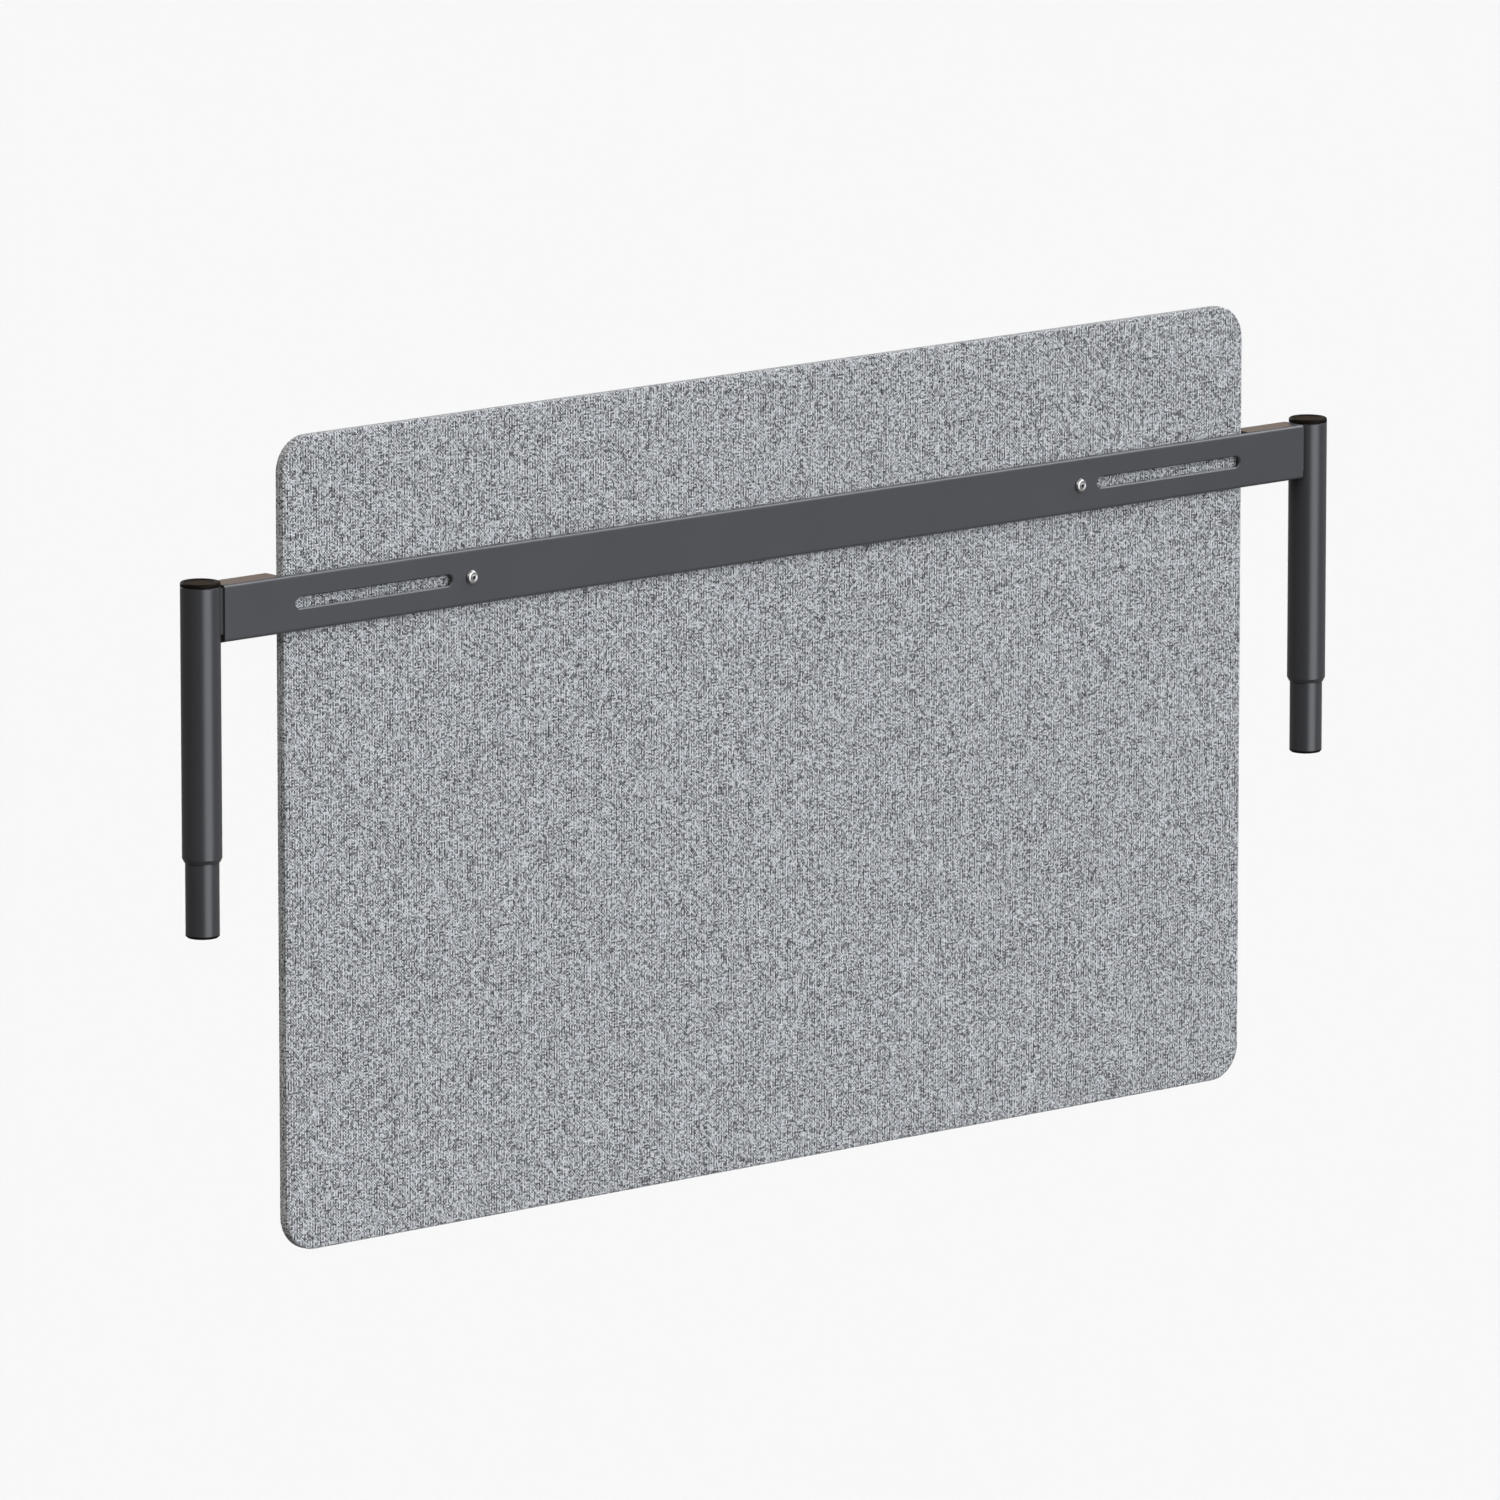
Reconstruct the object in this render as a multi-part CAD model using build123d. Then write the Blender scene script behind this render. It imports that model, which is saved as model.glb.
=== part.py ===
from build123d import *
import os

# Desk privacy panel: a fabric-wrapped board carried by a steel rail between two
# telescoping posts whose lower tubes plug into sockets in the desk.
#
# Frame, millimetres: origin midway between the posts, in the plane of the outer
# tubes' lower lips, which stand on the desk sockets. +X runs along the rail,
# +Y away from the rail's front face, +Z up. The board's mid-plane is Y = 0.

# Driving dimensions
POST_SPACING = 1040.0
POST_DIAMETER = 28.0
POST_WALL = 1.2
POST_HEIGHT = 193.0
POST_TOP_CHAMFER = 0.5
LIP_HEIGHT = 2.8
LIP_THICKNESS = 2.0
LOWER_DIAMETER = 23.8
LOWER_WALL = 1.5
LOWER_TOP = 150.0
SPIGOT_LENGTH = 53.0
PLUG_FLANGE = 2.0
SEAT_MARK_WIDTH = 0.8
SEAT_MARK_DEPTH = 0.25
RUNNING_CLEARANCE = 0.05
LIP_CLEARANCE = 0.3
BUSHING_LENGTH = 40.0
CAP_HEIGHT = 3.0
CAP_STEM = 12.0

RAIL_LENGTH = 1012.6
RAIL_HEIGHT = 40.0
RAIL_DEPTH = 20.0
RAIL_THICKNESS = 2.0
RAIL_BEND_RADIUS = 2.5
NOTCH_LENGTH = 908.0
NOTCH_LEFT_ON = 2.5
SLOT_WIDTH = 8.0
SLOT_INNER_END = 303.0
SLOT_OUTER_END = 443.4
SLOT_EDGE_RADIUS = 0.8
WELD_GAP = 0.3

PANEL_WIDTH = 900.0
PANEL_HEIGHT = 575.0
PANEL_THICKNESS = 9.0
PANEL_BOTTOM = -287.0
PANEL_CORNER = 25.0
FABRIC_THICKNESS = 1.0
PANEL_EDGE_RADIUS = 1.6
SEAM_Y = 1.5

SCREW_X = 286.0
SCREW_RADIUS = 2.5
SCREW_HEAD_RADIUS = 5.0
SCREW_HEAD_HEIGHT = 2.8
SCREW_REACH = 12.0
SOCKET_ACROSS_FLATS = 2.5
SOCKET_DEPTH = 1.5
INSERT_LENGTH = 6.0
INSERT_RADIUS = 4.5
INSERT_FLANGE_RADIUS = 6.5
INSERT_FLANGE = 0.6
SPACER_RADIUS = 6.0

CONNECTOR_INNER_END = 466.0
CONNECTOR_HEIGHT = 32.5
CONNECTOR_DEPTH = 10.0
STUD_RADIUS = 2.5
STUD_X = 480.0
STUD_PITCH = 16.0
STUD_END = 8.5
NUT_ACROSS_FLATS = 8.0
NUT_HEIGHT = 4.0
NUT_FLANGE_RADIUS = 5.5
NUT_FLANGE = 1.0

LOCK_HEIGHT = 24.0
LOCK_INSERT_RADIUS = 4.0
LOCK_FLANGE_RADIUS = 5.0
LOCK_FLANGE_END = 15.0
LOCK_SCREW_RADIUS = 2.5
LOCK_SCREW_LENGTH = 2.9
HOLE_CLEARANCE = 0.3

# Dimensions that follow from them
SIDES = {"left": -1, "right": 1}
POST_X = POST_SPACING / 2
POST_RADIUS = POST_DIAMETER / 2
BORE_RADIUS = POST_RADIUS - POST_WALL
LOWER_RADIUS = LOWER_DIAMETER / 2
LOWER_BORE = LOWER_RADIUS - LOWER_WALL
LOWER_BOTTOM = PLUG_FLANGE - SPIGOT_LENGTH
RAIL_FRONT = -RAIL_DEPTH / 2
RAIL_TOP = POST_HEIGHT
RAIL_BOTTOM = RAIL_TOP - RAIL_HEIGHT
RAIL_MIDDLE = (RAIL_TOP + RAIL_BOTTOM) / 2
WEB_BACK = RAIL_FRONT + RAIL_THICKNESS
CONNECTOR_TOP = RAIL_TOP - RAIL_THICKNESS
CONNECTOR_BACK = WEB_BACK + CONNECTOR_DEPTH
CONNECTOR_MIDDLE = CONNECTOR_TOP - CONNECTOR_HEIGHT / 2
PANEL_FRONT = -PANEL_THICKNESS / 2
BOARD_FRONT = PANEL_FRONT + FABRIC_THICKNESS
PANEL_MIDDLE = PANEL_BOTTOM + PANEL_HEIGHT / 2


def turned(profile):
    """A solid of revolution about Z from (radius, height) points."""
    outline = Polyline([(radius, 0, height) for radius, height in profile], close=True)
    return revolve(make_face(outline), Axis.Z)


def round_bar(x, z, y_start, y_end, radius):
    """A cylinder along Y, from y_start to y_end."""
    disc = Plane((x, y_start, z), x_dir=(1, 0, 0), z_dir=(0, 1, 0)) * Circle(radius)
    return extrude(disc, y_end - y_start)


def hex_bar(x, z, y_start, y_end, across_flats):
    """A hexagonal prism along Y, from y_start to y_end."""
    plane = Plane((x, y_start, z), x_dir=(1, 0, 0), z_dir=(0, 1, 0))
    hexagon = plane * RegularPolygon(across_flats / 2, 6, major_radius=False)
    return extrude(hexagon, y_end - y_start)


def block(x_range, y_range, z_range):
    """A box from its lowest to its highest corner."""
    sizes = [high - low for low, high in (x_range, y_range, z_range)]
    centre = [(high + low) / 2 for low, high in (x_range, y_range, z_range)]
    return Pos(*centre) * Box(*sizes)


def upright_plate(width, height, corner, y_start, y_end):
    """A plate in the XZ plane with rounded corners, centred on the panel."""
    plane = Plane((0, y_start, PANEL_MIDDLE), x_dir=(1, 0, 0), z_dir=(0, 1, 0))
    return extrude(plane * RectangleRounded(width, height, corner), y_end - y_start)


def at_post(shape, side):
    """A copy of a shape modelled on the Z axis, moved onto one post."""
    return Pos(side * POST_X, 0, 0) * shape


def save(shape, node):
    export_step(shape, f"parts/{node}.step")


# Posts -----------------------------------------------------------------------


def post_tube(side):
    """Outer tube, its lower end drawn in to a chamfered lip."""
    lip_bore = LOWER_RADIUS + LIP_CLEARANCE
    lip_rim = lip_bore + 0.4
    tube = turned(
        [
            (lip_bore, 0),
            (lip_rim, 0),
            (POST_RADIUS, LIP_HEIGHT),
            (POST_RADIUS, POST_HEIGHT - POST_TOP_CHAMFER),
            (POST_RADIUS - POST_TOP_CHAMFER, POST_HEIGHT),
            (BORE_RADIUS, POST_HEIGHT),
            (BORE_RADIUS, LIP_THICKNESS),
            (lip_bore, LIP_THICKNESS),
        ]
    )
    tube = at_post(tube, side)
    return tube - round_bar(side * POST_X, LOCK_HEIGHT, 0, POST_DIAMETER, LOCK_INSERT_RADIUS)


def guide_bushing(side):
    """Thin polymer sleeve above the lip, on which the lower tube slides."""
    sleeve_bore = LOWER_RADIUS + RUNNING_CLEARANCE
    sleeve_top = LIP_THICKNESS + BUSHING_LENGTH
    sleeve = turned(
        [
            (sleeve_bore, LIP_THICKNESS),
            (BORE_RADIUS, LIP_THICKNESS),
            (BORE_RADIUS, sleeve_top),
            (sleeve_bore, sleeve_top),
        ]
    )
    insert_hole = LOCK_INSERT_RADIUS + HOLE_CLEARANCE
    sleeve = at_post(sleeve, side)
    return sleeve - round_bar(side * POST_X, LOCK_HEIGHT, 0, POST_DIAMETER, insert_hole)


def top_cap(side):
    """Push-in cap with a raised rim, a shallow dished top and a hollow stem."""
    rim_width = 3.2
    dish_depth = 0.5
    edge = 0.8
    top = POST_HEIGHT + CAP_HEIGHT
    stem_bore = BORE_RADIUS - 1.6
    cap = turned(
        [
            (0, top - dish_depth),
            (POST_RADIUS - rim_width - dish_depth, top - dish_depth),
            (POST_RADIUS - rim_width, top),
            (POST_RADIUS - edge, top),
            (POST_RADIUS, top - edge),
            (POST_RADIUS, POST_HEIGHT),
            (BORE_RADIUS, POST_HEIGHT),
            (BORE_RADIUS, POST_HEIGHT - CAP_STEM),
            (stem_bore, POST_HEIGHT - CAP_STEM),
            (stem_bore, POST_HEIGHT),
            (0, POST_HEIGHT),
        ]
    )
    return at_post(cap, side)


def lock_insert(side):
    """Thin threaded insert in the back of the outer tube, its flange saddled to the curve."""
    x = side * POST_X
    flange = round_bar(x, LOCK_HEIGHT, 0, LOCK_FLANGE_END, LOCK_FLANGE_RADIUS)
    flange -= Pos(x, 0, LOCK_HEIGHT) * Cylinder(POST_RADIUS, 2 * POST_DIAMETER)
    start = LOWER_RADIUS + 2 * HOLE_CLEARANCE
    body = round_bar(x, LOCK_HEIGHT, start, LOCK_FLANGE_END, LOCK_INSERT_RADIUS)
    return flange + body - round_bar(x, LOCK_HEIGHT, 0, POST_DIAMETER, LOCK_SCREW_RADIUS)


def lock_screw(side):
    """Socket set screw whose flat tip holds the lower tube."""
    x = side * POST_X
    tip = LOWER_RADIUS + HOLE_CLEARANCE
    end = tip + LOCK_SCREW_LENGTH
    screw = round_bar(x, LOCK_HEIGHT, tip, end, LOCK_SCREW_RADIUS)
    return screw - hex_bar(x, LOCK_HEIGHT, end - SOCKET_DEPTH, end, SOCKET_ACROSS_FLATS)


def lower_tube(side):
    """Lower tube: its free end is the spigot, with a scribed seat mark."""
    mark = LOWER_RADIUS - SEAT_MARK_DEPTH
    tube = turned(
        [
            (LOWER_BORE, LOWER_BOTTOM),
            (LOWER_RADIUS, LOWER_BOTTOM),
            (LOWER_RADIUS, -SEAT_MARK_WIDTH),
            (mark, -SEAT_MARK_WIDTH),
            (mark, 0),
            (LOWER_RADIUS, 0),
            (LOWER_RADIUS, LOWER_TOP),
            (LOWER_BORE, LOWER_TOP),
        ]
    )
    return at_post(tube, side)


def slide_glide(side):
    """Collar on top of the lower tube, which runs in the outer tube's bore."""
    glide_radius = BORE_RADIUS - RUNNING_CLEARANCE
    collar_top = LOWER_TOP + 6
    stem_bottom = LOWER_TOP - 20
    through_bore = LOWER_BORE - 2
    glide = turned(
        [
            (through_bore, stem_bottom),
            (LOWER_BORE, stem_bottom),
            (LOWER_BORE, LOWER_TOP),
            (glide_radius, LOWER_TOP),
            (glide_radius, collar_top),
            (through_bore, collar_top),
        ]
    )
    return at_post(glide, side)


def end_plug(side):
    """Plug in the spigot's mouth, with a chamfered foot."""
    chamfer = 1.2
    bottom = -SPIGOT_LENGTH
    plug = turned(
        [
            (0, bottom),
            (LOWER_RADIUS - chamfer, bottom),
            (LOWER_RADIUS, bottom + chamfer),
            (LOWER_RADIUS, LOWER_BOTTOM),
            (LOWER_BORE, LOWER_BOTTOM),
            (LOWER_BORE, LOWER_BOTTOM + 10),
            (LOWER_BORE - 1.6, LOWER_BOTTOM + 10),
            (LOWER_BORE - 1.6, LOWER_BOTTOM),
            (0, LOWER_BOTTOM),
        ]
    )
    return at_post(plug, side)


# Rail ------------------------------------------------------------------------


def rail():
    """Folded channel, open at the back, its flanges cut away behind the panel."""
    half = RAIL_LENGTH / 2
    outside = block((-half, half), (RAIL_FRONT, -RAIL_FRONT), (RAIL_BOTTOM, RAIL_TOP))
    bends = outside.edges().filter_by(Axis.X).group_by(Axis.Y)[0]
    outside = fillet(bends, RAIL_BEND_RADIUS)
    inside = block(
        (-half, half),
        (WEB_BACK, RAIL_DEPTH),
        (RAIL_BOTTOM + RAIL_THICKNESS, RAIL_TOP - RAIL_THICKNESS),
    )
    corners = inside.edges().filter_by(Axis.X).group_by(Axis.Y)[0]
    channel = outside - fillet(corners, RAIL_BEND_RADIUS - RAIL_THICKNESS)
    channel -= block(
        (-NOTCH_LENGTH / 2, NOTCH_LENGTH / 2),
        (RAIL_FRONT + NOTCH_LEFT_ON, RAIL_DEPTH),
        (RAIL_BOTTOM - 1, RAIL_TOP + 1),
    )
    for side in SIDES.values():
        channel -= Pos(side * POST_X, 0, 0) * Cylinder(POST_RADIUS + WELD_GAP, 4 * POST_HEIGHT)
        channel -= accessory_slot(side)
        hole = SCREW_RADIUS + HOLE_CLEARANCE
        channel -= round_bar(side * SCREW_X, RAIL_MIDDLE, -RAIL_DEPTH, 0, hole)
    return channel


def accessory_slot(side):
    """Cutter for one long slot, flared a little at the web's front face."""
    length = SLOT_OUTER_END - SLOT_INNER_END
    middle = side * (SLOT_OUTER_END + SLOT_INNER_END) / 2
    plane = Plane((middle, -RAIL_DEPTH, RAIL_MIDDLE), x_dir=(1, 0, 0), z_dir=(0, 1, 0))
    straight = extrude(plane * SlotOverall(length, SLOT_WIDTH), RAIL_DEPTH)
    front = Plane((middle, RAIL_FRONT, RAIL_MIDDLE), x_dir=(1, 0, 0), z_dir=(0, 1, 0))
    wide = SlotOverall(length + 2 * SLOT_EDGE_RADIUS, SLOT_WIDTH + 2 * SLOT_EDGE_RADIUS)
    flare = extrude(front * wide, SLOT_EDGE_RADIUS, taper=45)
    return straight + flare


def rail_studs():
    """Four threaded studs, resistance-welded to the back of the web."""
    studs = []
    for x in (-STUD_X, STUD_X):
        for z in (CONNECTOR_MIDDLE - STUD_PITCH / 2, CONNECTOR_MIDDLE + STUD_PITCH / 2):
            studs.append(round_bar(x, z, WEB_BACK, STUD_END, STUD_RADIUS))
    return Compound(children=studs)


def stud_nuts():
    """Flange nuts that clamp the connectors to the web."""
    nuts = []
    flange_end = CONNECTOR_BACK + NUT_FLANGE
    for x in (-STUD_X, STUD_X):
        for z in (CONNECTOR_MIDDLE - STUD_PITCH / 2, CONNECTOR_MIDDLE + STUD_PITCH / 2):
            nut = round_bar(x, z, CONNECTOR_BACK, flange_end, NUT_FLANGE_RADIUS)
            nut += hex_bar(x, z, flange_end, CONNECTOR_BACK + NUT_HEIGHT, NUT_ACROSS_FLATS)
            nuts.append(nut - round_bar(x, z, 0, RAIL_DEPTH, STUD_RADIUS))
    return Compound(children=nuts)


def connector(side):
    """Block inside the rail's end, coped and welded to the post."""
    ends = sorted((side * CONNECTOR_INNER_END, side * POST_X))
    body = block(
        ends,
        (WEB_BACK, CONNECTOR_BACK),
        (CONNECTOR_TOP - CONNECTOR_HEIGHT, CONNECTOR_TOP),
    )
    corners = body.edges().filter_by(Axis.X).group_by(Axis.Y)[0]
    body = fillet(corners, RAIL_BEND_RADIUS - RAIL_THICKNESS + 0.1)
    for z in (CONNECTOR_MIDDLE - STUD_PITCH / 2, CONNECTOR_MIDDLE + STUD_PITCH / 2):
        body -= round_bar(side * STUD_X, z, -RAIL_DEPTH, RAIL_DEPTH, STUD_RADIUS + 0.25)
    return body - Pos(side * POST_X, 0, RAIL_MIDDLE) * Cylinder(POST_RADIUS, 4 * RAIL_HEIGHT)


def end_pad(side):
    """Black pad under the connector, with a toe that closes the rail's open end."""
    clearance = 0.05
    front = WEB_BACK + 0.1
    top = CONNECTOR_TOP - CONNECTOR_HEIGHT - clearance
    flange_top = RAIL_BOTTOM + RAIL_THICKNESS + clearance
    post = side * POST_X
    pad = block(
        sorted((side * CONNECTOR_INNER_END, post)), (front, CONNECTOR_BACK), (flange_top, top)
    )
    corners = pad.edges().filter_by(Axis.X).group_by(Axis.Z)[0].group_by(Axis.Y)[0]
    pad = fillet(corners, RAIL_BEND_RADIUS - RAIL_THICKNESS + 0.1)
    toe_start = side * (RAIL_LENGTH / 2 + 0.1)
    pad += block(sorted((toe_start, post)), (front, CONNECTOR_BACK), (RAIL_BOTTOM, top))
    clear_post = Cylinder(POST_RADIUS + clearance, 4 * RAIL_HEIGHT)
    return pad - Pos(post, 0, RAIL_MIDDLE) * clear_post


# Panel -----------------------------------------------------------------------


def panel_board():
    """Rigid core board, with blind holes for the threaded inserts."""
    trim = 2 * FABRIC_THICKNESS
    board = upright_plate(
        PANEL_WIDTH - trim,
        PANEL_HEIGHT - trim,
        PANEL_CORNER - FABRIC_THICKNESS,
        BOARD_FRONT,
        -BOARD_FRONT,
    )
    rims = board.edges().group_by(Axis.Y)
    return fillet(rims[0] + rims[-1], PANEL_EDGE_RADIUS - FABRIC_THICKNESS)


def drilled_board():
    """The core board with its insert holes."""
    board = panel_board()
    for side in SIDES.values():
        x = side * SCREW_X
        deep = BOARD_FRONT + INSERT_LENGTH
        board -= round_bar(x, RAIL_MIDDLE, PANEL_FRONT, deep, INSERT_RADIUS)
        rebate = BOARD_FRONT + INSERT_FLANGE
        board -= round_bar(x, RAIL_MIDDLE, PANEL_FRONT, rebate, INSERT_FLANGE_RADIUS)
    return board


def fabric_cover(face):
    """Part of the cover: one face and every edge as far as the seam."""
    start, end = sorted((face * PANEL_THICKNESS / 2, SEAM_Y))
    cover = upright_plate(PANEL_WIDTH, PANEL_HEIGHT, PANEL_CORNER, start, end)
    rims = cover.edges().group_by(Axis.Y)
    cover = fillet(rims[0] if face < 0 else rims[-1], PANEL_EDGE_RADIUS)
    cover -= panel_board()
    if face < 0:
        for side in SIDES.values():
            hole = SCREW_RADIUS + HOLE_CLEARANCE
            cover -= round_bar(side * SCREW_X, RAIL_MIDDLE, -RAIL_DEPTH, 0, hole)
    return cover


def threaded_insert(side):
    """Flanged insert let into the board behind the cover."""
    x = side * SCREW_X
    flange_end = BOARD_FRONT + INSERT_FLANGE
    insert = round_bar(x, RAIL_MIDDLE, BOARD_FRONT, flange_end, INSERT_FLANGE_RADIUS)
    insert += round_bar(x, RAIL_MIDDLE, flange_end, BOARD_FRONT + INSERT_LENGTH, INSERT_RADIUS)
    return insert - round_bar(x, RAIL_MIDDLE, -RAIL_DEPTH, RAIL_DEPTH, SCREW_RADIUS)


def spacer(side):
    """Washer that keeps the web clear of the panel's face."""
    x = side * SCREW_X
    ring = round_bar(x, RAIL_MIDDLE, WEB_BACK, PANEL_FRONT, SPACER_RADIUS)
    hole = SCREW_RADIUS + HOLE_CLEARANCE
    return ring - round_bar(x, RAIL_MIDDLE, -RAIL_DEPTH, RAIL_DEPTH, hole)


def panel_screw(side):
    """Low domed head with a hexagon socket, over a plain shank."""
    x = side * SCREW_X
    rim = 0.9
    crown = 2.6
    top = SCREW_HEAD_HEIGHT
    face = Line((0, 0, top), (crown, 0, top))
    dome = ThreePointArc(
        (crown, 0, top),
        (0.72 * SCREW_HEAD_RADIUS, 0, 0.5 * (rim + top) + 0.28),
        (SCREW_HEAD_RADIUS, 0, rim),
    )
    side_wall = Line((SCREW_HEAD_RADIUS, 0, rim), (SCREW_HEAD_RADIUS, 0, 0))
    base = Line((SCREW_HEAD_RADIUS, 0, 0), (0, 0, 0))
    spine = Line((0, 0, 0), (0, 0, top))
    head = revolve(make_face([face, dome, side_wall, base, spine]), Axis.Z)
    head = Pos(x, RAIL_FRONT, RAIL_MIDDLE) * Rot(90, 0, 0) * head
    end = RAIL_FRONT - top
    head -= hex_bar(x, RAIL_MIDDLE, end - 1, end + SOCKET_DEPTH, SOCKET_ACROSS_FLATS)
    return head + round_bar(x, RAIL_MIDDLE, RAIL_FRONT, RAIL_FRONT + SCREW_REACH, SCREW_RADIUS)


PAIRED_PARTS = {
    "post_tube": post_tube,
    "guide_bushing": guide_bushing,
    "top_cap": top_cap,
    "lock_insert": lock_insert,
    "lock_screw": lock_screw,
    "lower_tube": lower_tube,
    "slide_glide": slide_glide,
    "end_plug": end_plug,
    "connector": connector,
    "end_pad": end_pad,
    "threaded_insert": threaded_insert,
    "spacer": spacer,
    "panel_screw": panel_screw,
}

os.makedirs("parts", exist_ok=True)
for name, make in PAIRED_PARTS.items():
    for side_name, side in SIDES.items():
        save(make(side), f"{name}_{side_name}")
save(rail(), "rail")
save(rail_studs(), "rail_studs")
save(stud_nuts(), "stud_nuts")
save(drilled_board(), "panel_board")
save(fabric_cover(-1), "fabric_front")
save(fabric_cover(1), "fabric_back")
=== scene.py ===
"""Desk privacy panel: cover, seam, screws, finishes and stage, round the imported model."""

import math

import bmesh
import bpy
from bpy.props import FloatProperty, FloatVectorProperty, PointerProperty
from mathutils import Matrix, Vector


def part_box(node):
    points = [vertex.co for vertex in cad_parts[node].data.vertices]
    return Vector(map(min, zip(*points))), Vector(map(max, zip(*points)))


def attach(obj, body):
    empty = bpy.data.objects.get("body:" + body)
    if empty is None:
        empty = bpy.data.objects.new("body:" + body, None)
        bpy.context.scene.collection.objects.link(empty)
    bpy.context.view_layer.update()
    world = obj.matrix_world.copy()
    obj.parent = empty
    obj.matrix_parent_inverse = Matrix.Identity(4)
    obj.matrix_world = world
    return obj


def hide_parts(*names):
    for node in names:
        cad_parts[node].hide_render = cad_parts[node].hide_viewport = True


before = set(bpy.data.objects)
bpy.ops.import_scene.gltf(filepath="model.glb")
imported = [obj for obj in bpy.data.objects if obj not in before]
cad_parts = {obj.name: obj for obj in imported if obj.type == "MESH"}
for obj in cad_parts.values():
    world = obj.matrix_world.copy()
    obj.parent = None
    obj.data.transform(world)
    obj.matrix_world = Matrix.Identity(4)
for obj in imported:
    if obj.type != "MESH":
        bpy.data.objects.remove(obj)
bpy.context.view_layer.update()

bl_info = {
    "name": "Desk Privacy Panel",
    "version": (1, 0, 0),
    "blender": (4, 5, 0),
    "location": "3D View > Sidebar > Privacy Panel",
    "description": "Builds the cover, seam, screws and finishes of a desk privacy panel",
    "category": "Object",
}

PANEL_LOW, PANEL_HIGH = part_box("fabric_front")
HALF_WIDTH = PANEL_HIGH[0]
PANEL_FRONT = PANEL_LOW[1]
PANEL_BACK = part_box("fabric_back")[1][1]
SEAM_Y = PANEL_HIGH[1]
RAIL_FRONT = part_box("rail")[0][1]
SCREW_LOW, SCREW_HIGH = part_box("panel_screw_right")
SCREW_X = (SCREW_LOW[0] + SCREW_HIGH[0]) / 2
SCREW_Z = (SCREW_LOW[2] + SCREW_HIGH[2]) / 2
SCREW_RADIUS = (SCREW_HIGH[0] - SCREW_LOW[0]) / 2
UV_NAME = "cloth"
MM = 0.001

# Size of the cover's mesh faces, and how the yarns of its weave look
GRID_STEP = 12.5 * MM
STRAND_WIDTH = 0.16 * MM
STRAND_LENGTH = 1.6 * MM
STRAND_CONTRAST = 0.7
STRAND_RELIEF = 0.25
WARP_STEP, WEFT_STEP = 7.37, 5.71
WARP_SLUB, WEFT_SLUB = 0.7, 0.3
YARN_DIP = 0.4
GAP_SHADE, CROWN_SHADE = 0.4, 1.15

# The seam: how far the welt sits inside the silhouette, and the half sizes of a stitch
SEAM_INSET = 0.3 * MM
STITCH_SIZE = (0.42 * MM, 1.15 * MM, 0.62 * MM)

# The screw: its shank, the head's upright rim and the dome that ends at the shoulder
SHANK_RADIUS = 2.4 * MM
RIM_SHARE = 0.35
RIM_ROUNDING = 0.15 * MM
DOME_STEPS = 7
SHOULDER_RADIUS = 2.9 * MM
# Radii of the groove and the land round the socket, and depths below the dome's top
GROOVE_OUTER, GROOVE_INNER, GROOVE_DEPTH = 2.3 * MM, 2.05 * MM, 0.28 * MM
LAND_RADIUS, LAND_DEPTH = 1.75 * MM, 0.02 * MM
MOUTH_FLARE, MOUTH_DEPTH = 0.15 * MM, 0.2 * MM
SOCKET_DEPTH, TIP_DEPTH, TIP_RADIUS = 1.5 * MM, 1.8 * MM, 0.2 * MM
# Margin of the screw faces that get the painted shade
PAINTED_SHADE_MARGIN = 0.1 * MM


# Settings ---------------------------------------------------------------------


class CoverSettings(bpy.types.PropertyGroup):
    """The woven cover and its seam"""

    corner_radius: FloatProperty(
        name="Corner Radius",
        description="Radius of the panel's four corners",
        default=25 * MM,
        unit="LENGTH",
    )
    edge_radius: FloatProperty(
        name="Edge Radius",
        description="Radius of the rounded edge between a face and the side",
        default=1.6 * MM,
        unit="LENGTH",
    )
    cloth_thickness: FloatProperty(
        name="Cloth Thickness",
        description="Thickness of the woven cover",
        default=0.9 * MM,
        unit="LENGTH",
    )
    tuck_depth: FloatProperty(
        name="Tuck Depth",
        description="How far each half of the cover turns in at the seam",
        default=0.7 * MM,
        unit="LENGTH",
    )
    warp_pitch: FloatProperty(
        name="Warp Pitch",
        description="Distance between upright yarns",
        default=1.16 * MM,
        unit="LENGTH",
    )
    weft_pitch: FloatProperty(
        name="Weft Pitch",
        description="Distance between level yarns",
        default=1.095 * MM,
        unit="LENGTH",
    )
    dark_fibre: FloatVectorProperty(
        name="Dark Fibre",
        description="Colour of the darkest fibres in the heathered yarn",
        default=(0.029, 0.03, 0.0315),
        subtype="COLOR",
    )
    light_fibre: FloatVectorProperty(
        name="Light Fibre",
        description="Colour of the palest fibres in the heathered yarn",
        default=(0.735, 0.76, 0.785),
        subtype="COLOR",
    )
    pale_yarn: FloatProperty(name="Pale Yarn", description="Tone of every other upright yarn", default=0.75)
    mid_yarn: FloatProperty(name="Mid Yarn", description="Tone of the yarns between", default=0.45)
    dark_yarn: FloatProperty(name="Dark Yarn", description="Tone of every other level yarn", default=0.2)
    heather: FloatProperty(
        name="Heather",
        description="Change of tone from crossing to crossing",
        default=1.05,
    )
    slub_length: FloatProperty(
        name="Slub Length",
        description="Length over which a yarn's tone changes",
        default=14 * MM,
        unit="LENGTH",
    )
    stitch_pitch: FloatProperty(
        name="Stitch Pitch",
        description="Distance between stitches along the seam",
        default=3.4 * MM,
        unit="LENGTH",
    )
    cord_radius: FloatProperty(
        name="Welt Radius",
        description="Radius of the thin welt cord in the seam",
        default=0.5 * MM,
        unit="LENGTH",
    )


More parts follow.
